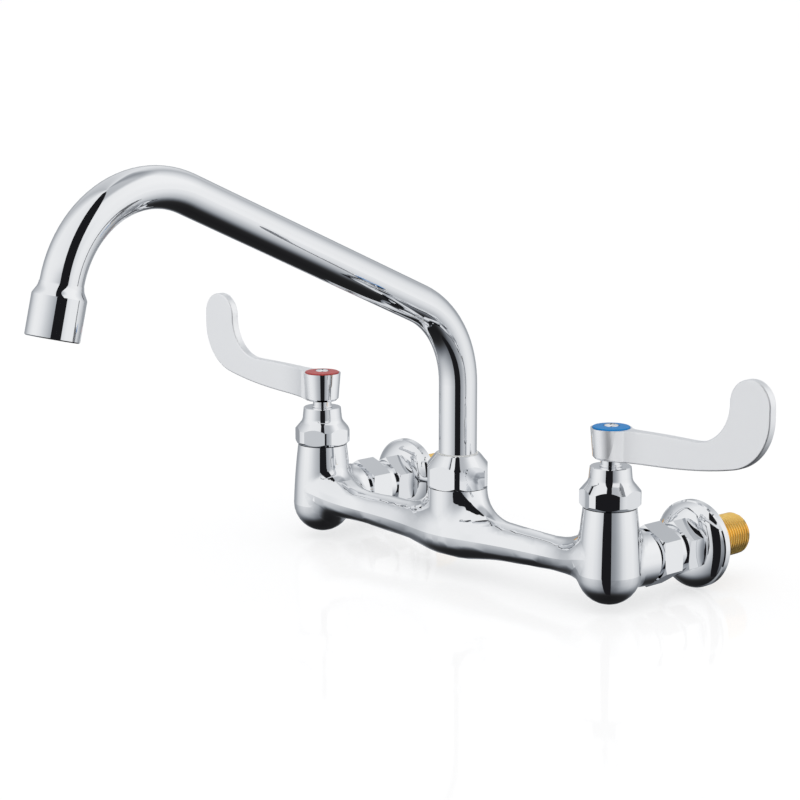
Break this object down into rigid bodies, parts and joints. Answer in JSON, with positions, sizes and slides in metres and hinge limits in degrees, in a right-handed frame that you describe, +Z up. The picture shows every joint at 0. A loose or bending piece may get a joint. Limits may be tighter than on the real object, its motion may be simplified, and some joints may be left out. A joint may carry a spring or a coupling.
{
  "type": "wall faucet",
  "caption": "Wall-mounted faucet: cross-bar mixing body on inlet unions, wrist-blade levers for hot and cold, and a long sloping swivel spout with an aerator nozzle.",
  "frame": {"origin": "midway between the hot and cold inlet axes, on the wall face", "axes": "+X towards the cold inlet, +Y along the inlets into the wall, +Z up; the spout points along -Y"},
  "size_m": [0.3914, 0.3503, 0.2165],
  "materials": {
    "chrome_body": "polished chrome plate on a brass casting",
    "chrome_trim": "polished chrome plate on turned brass",
    "chrome_spout": "polished chrome plate on brass tube",
    "chrome_lever": "polished chrome plate on a zinc casting",
    "chrome_stem": "polished chrome plate on turned brass",
    "raw_brass": "machined, uncoated",
    "steel": "bright stainless steel",
    "black_rubber": "matt",
    "fibre_washer": "pressed fibre",
    "ceramic": "lapped alumina ceramic",
    "white_plastic": "moulded acetal",
    "grey_plastic": "moulded acetal",
    "red_disc": "glossy moulded plastic",
    "blue_disc": "glossy moulded plastic"
  },
  "bodies": {
    "faucet_body": {"mixing_body": "chrome_body", "spout_nut": "chrome_trim", "spout_guide_ring": "white_plastic", "hot_bonnet": "chrome_trim", "cold_bonnet": "chrome_trim", "hot_bonnet_seal": "black_rubber", "cold_bonnet_seal": "black_rubber", "hot_cartridge_cage": "white_plastic", "cold_cartridge_cage": "white_plastic", "hot_seat_seal": "black_rubber", "cold_seat_seal": "black_rubber", "hot_fixed_disc": "ceramic", "cold_fixed_disc": "ceramic", "hot_union_washer": "fibre_washer", "cold_union_washer": "fibre_washer", "hot_coupling_nut": "chrome_trim", "cold_coupling_nut": "chrome_trim", "hot_inlet_tail": "chrome_trim", "cold_inlet_tail": "chrome_trim", "hot_wall_flange": "chrome_trim", "cold_wall_flange": "chrome_trim", "hot_inlet_nipple": "raw_brass", "cold_inlet_nipple": "raw_brass"},
    "spout": {"spout_tube": "chrome_spout", "spout_base": "raw_brass", "spout_o_rings": "black_rubber", "spout_snap_ring": "steel", "spout_nozzle": "chrome_spout", "aerator_insert": "grey_plastic", "aerator_washer": "black_rubber"},
    "hot_lever": {"hot_handle": "chrome_lever", "hot_index_disc": "red_disc", "hot_handle_screw": "steel", "hot_stem": "chrome_stem", "hot_stem_o_ring": "black_rubber", "hot_stem_clip": "steel", "hot_moving_disc": "ceramic"},
    "cold_lever": {"cold_handle": "chrome_lever", "cold_index_disc": "blue_disc", "cold_handle_screw": "steel", "cold_stem": "chrome_stem", "cold_stem_o_ring": "black_rubber", "cold_stem_clip": "steel", "cold_moving_disc": "ceramic"}
  },
  "joints": [
    {"name": "spout_swivel", "type": "hinge", "parent": "faucet_body", "child": "spout", "pos_m": [0, -0.064, 0.036], "axis": [0, 0, 1], "range_deg": [-90, 90]},
    {"name": "hot_lever_turn", "type": "hinge", "parent": "faucet_body", "child": "hot_lever", "pos_m": [-0.1016, -0.064, 0.05], "axis": [0, 0, 1], "range_deg": [0, 90]},
    {"name": "cold_lever_turn", "type": "hinge", "parent": "faucet_body", "child": "cold_lever", "pos_m": [0.1016, -0.064, 0.05], "axis": [0, 0, 1], "range_deg": [-90, 0]}
  ]
}
